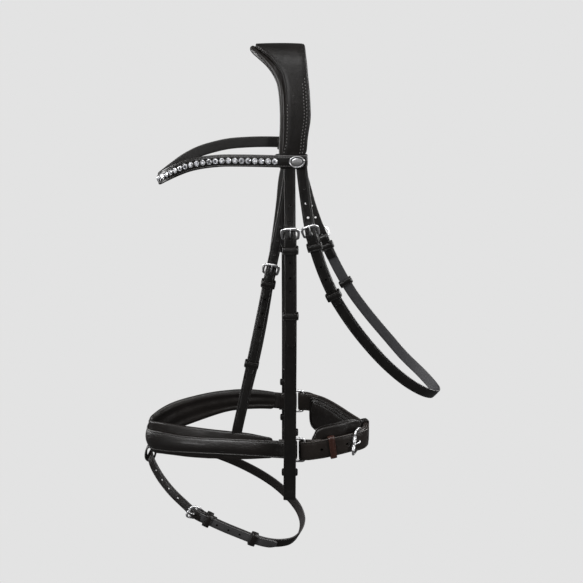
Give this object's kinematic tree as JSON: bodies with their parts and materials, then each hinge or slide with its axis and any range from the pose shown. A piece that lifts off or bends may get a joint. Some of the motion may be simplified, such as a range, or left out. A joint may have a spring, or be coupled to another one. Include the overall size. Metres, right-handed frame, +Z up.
{
  "type": "snaffle bridle",
  "caption": "Leather snaffle bridle in full size: padded headpiece, crystal browband, buckled cheekpieces, throatlash, padded crank noseband with a flash strap, and no bit or reins.",
  "frame": {"origin": "poll seat: the underside of the headpiece pad at the middle of the crest, where it rests on the poll", "axes": "+Z up, -X towards the horse's nose, +Y to the off (right-hand) side, so the near side is at -Y"},
  "size_m": [0.3914, 0.1674, 0.6502],
  "materials": {
    "strap_leather": "smooth waxed black strap leather, satin",
    "padded_leather": "soft black lining leather over foam padding, satin",
    "brown_leather": "brown waxed leather keeper",
    "bridle_steel": "polished silver-coloured steel fittings",
    "crystal_chain": "faceted clear stones in plated cups, modelled as one chain"
  },
  "bodies": {
    "cheek_near": {"bit_keeper_lower_near": "strap_leather", "bit_keeper_upper_near": "strap_leather", "cheek_billet_near": "strap_leather", "cheek_buckle_near": "bridle_steel", "cheek_keeper_near": "strap_leather", "cheekpiece_near": "strap_leather", "hook_stud_near": "bridle_steel"},
    "cheek_off": {"bit_keeper_lower_off": "strap_leather", "bit_keeper_upper_off": "strap_leather", "cheek_billet_off": "strap_leather", "cheek_buckle_off": "bridle_steel", "cheek_keeper_off": "strap_leather", "cheekpiece_off": "strap_leather", "hook_stud_off": "bridle_steel"},
    "browband": {"browband_concho_near": "bridle_steel", "browband_concho_off": "bridle_steel", "browband_crystal_chain": "crystal_chain", "browband_strap": "strap_leather"},
    "cheek_prong_near_body": {"cheek_prong_near": "bridle_steel"},
    "cheek_prong_off_body": {"cheek_prong_off": "bridle_steel"},
    "cheek_runner_near_body": {"cheek_runner_near": "strap_leather"},
    "cheek_runner_off_body": {"cheek_runner_off": "strap_leather"},
    "jaw": {"chin_keeper_near": "brown_leather", "chin_keeper_off": "strap_leather", "chin_pad": "padded_leather", "crank_buckle": "bridle_steel", "jaw_billet_near": "strap_leather", "jaw_strap_off": "strap_leather"},
    "crank_prong_body": {"crank_prong": "bridle_steel"},
    "crank_roller_body": {"crank_roller": "bridle_steel"},
    "flash": {"flash_buckle": "bridle_steel", "flash_keeper": "strap_leather", "flash_strap": "strap_leather"},
    "noseband": {"flash_loop": "strap_leather", "nose_buckle": "bridle_steel", "nose_keeper": "strap_leather", "noseband_hanger_near": "strap_leather", "noseband_leather": "strap_leather", "noseband_lining": "padded_leather", "noseband_ring_near": "bridle_steel", "noseband_ring_off": "bridle_steel", "noseband_sliphead": "strap_leather"},
    "flash_prong_body": {"flash_prong": "bridle_steel"},
    "flash_runner_body": {"flash_runner": "strap_leather"},
    "headpiece": {"headpiece_cover": "strap_leather", "headpiece_pad": "padded_leather"},
    "nose_prong_body": {"nose_prong": "bridle_steel"},
    "nose_runner_body": {"nose_runner": "strap_leather"},
    "throat": {"throat_billet_near": "strap_leather", "throat_billet_off": "strap_leather", "throat_buckle_near": "bridle_steel", "throat_buckle_off": "bridle_steel", "throat_keeper_near": "strap_leather", "throat_keeper_off": "strap_leather", "throatlash": "strap_leather"},
    "throat_prong_near_body": {"throat_prong_near": "bridle_steel"},
    "throat_prong_off_body": {"throat_prong_off": "bridle_steel"},
    "throat_runner_near_body": {"throat_runner_near": "strap_leather"},
    "throat_runner_off_body": {"throat_runner_off": "strap_leather"}
  },
  "joints": [
    {"name": "browband_tilt", "type": "hinge", "parent": "headpiece", "child": "browband", "pos_m": [0.002, 0, -0.112], "axis": [0, 1, 0], "range_deg": [-1, 5]},
    {"name": "cheek_swing_near", "type": "hinge", "parent": "headpiece", "child": "cheek_near", "pos_m": [0, -0.0724, -0.121], "axis": [-1, 0, 0], "range_deg": [0, 20]},
    {"name": "cheek_swing_off", "type": "hinge", "parent": "headpiece", "child": "cheek_off", "pos_m": [0, 0.0724, -0.121], "axis": [1, 0, 0], "range_deg": [0, 20]},
    {"name": "throat_swing", "type": "hinge", "parent": "headpiece", "child": "throat", "pos_m": [0.011, 0, -0.121], "axis": [0, -1, 0], "range_deg": [0, 20]},
    {"name": "noseband_swing", "type": "hinge", "parent": "headpiece", "child": "noseband", "pos_m": [-0.014, 0, 0.0016], "axis": [0, 1, 0], "range_deg": [-3, 5]},
    {"name": "flash_swing", "type": "hinge", "parent": "noseband", "child": "flash", "pos_m": [-0.187, 0, -0.5135], "axis": [0, 1, 0], "range_deg": [-8, 0]},
    {"name": "jaw_tilt", "type": "hinge", "parent": "noseband", "child": "jaw", "pos_m": [0.0186, -0.00035, -0.47175], "axis": [0, 0.9991, 0.0428], "range_deg": [-5, 5]},
    {"name": "cheek_prong_near_lift", "type": "hinge", "parent": "cheek_near", "child": "cheek_prong_near_body", "pos_m": [0.00129, -0.07376, -0.19999], "axis": [1, 0.0001, 0.0065], "range_deg": [0, 14]},
    {"name": "cheek_prong_off_lift", "type": "hinge", "parent": "cheek_off", "child": "cheek_prong_off_body", "pos_m": [-0.0033, 0.07376, -0.19999], "axis": [-1, 0, 0.0013], "range_deg": [0, 14]},
    {"name": "throat_prong_near_lift", "type": "hinge", "parent": "throat", "child": "throat_prong_near_body", "pos_m": [0.02553, -0.07336, -0.19618], "axis": [0.969, -0.0002, 0.2469], "range_deg": [0, 14]},
    {"name": "throat_prong_off_lift", "type": "hinge", "parent": "throat", "child": "throat_prong_off_body", "pos_m": [0.04464, 0.07224, -0.23522], "axis": [-0.9195, -0.0015, -0.393], "range_deg": [0, 14]},
    {"name": "nose_prong_lift", "type": "hinge", "parent": "noseband", "child": "nose_prong_body", "pos_m": [-0.02223, -0.05753, -0.24589], "axis": [0.9803, 0.0002, -0.1974], "range_deg": [0, 14]},
    {"name": "flash_prong_lift", "type": "hinge", "parent": "flash", "child": "flash_prong_body", "pos_m": [-0.1205, -0.0448, -0.579], "axis": [0.544, -0.0085, 0.8391], "range_deg": [0, 10]},
    {"name": "crank_prong_lift", "type": "hinge", "parent": "jaw", "child": "crank_prong_body", "pos_m": [0.08759, -0.04231, -0.47105], "axis": [0.1064, 0.1159, 0.9875], "range_deg": [0, 14]},
    {"name": "cheek_runner_near_slide", "type": "slide", "parent": "cheek_near", "child": "cheek_runner_near_body", "axis": [0.0065, -0.0174, -0.9998], "range_m": [-0.014, 0.014]},
    {"name": "cheek_runner_off_slide", "type": "slide", "parent": "cheek_off", "child": "cheek_runner_off_body", "axis": [-0.0013, 0.0174, -0.9998], "range_m": [-0.014, 0.014]},
    {"name": "throat_runner_near_slide", "type": "slide", "parent": "throat", "child": "throat_runner_near_body", "axis": [0.4501, 0.0716, -0.8901], "range_m": [-0.008, 0.004]},
    {"name": "throat_runner_off_slide", "type": "slide", "parent": "throat", "child": "throat_runner_off_body", "axis": [0.5107, -0.062, -0.8575], "range_m": [-0.008, 0.002]},
    {"name": "nose_runner_slide", "type": "slide", "parent": "noseband", "child": "nose_runner_body", "axis": [-0.2068, 0.0146, -0.9783], "range_m": [-0.01, 0.01]},
    {"name": "flash_runner_slide", "type": "slide", "parent": "flash", "child": "flash_runner_body", "axis": [0.9006, 0.0921, -0.4249], "range_m": [-0.004, 0.004]},
    {"name": "crank_roller_spin", "type": "hinge", "parent": "jaw", "child": "crank_roller_body", "pos_m": [0.08128, -0.05864, -0.46845], "axis": [0.1064, 0.1159, 0.9875], "continuous": true}
  ]
}
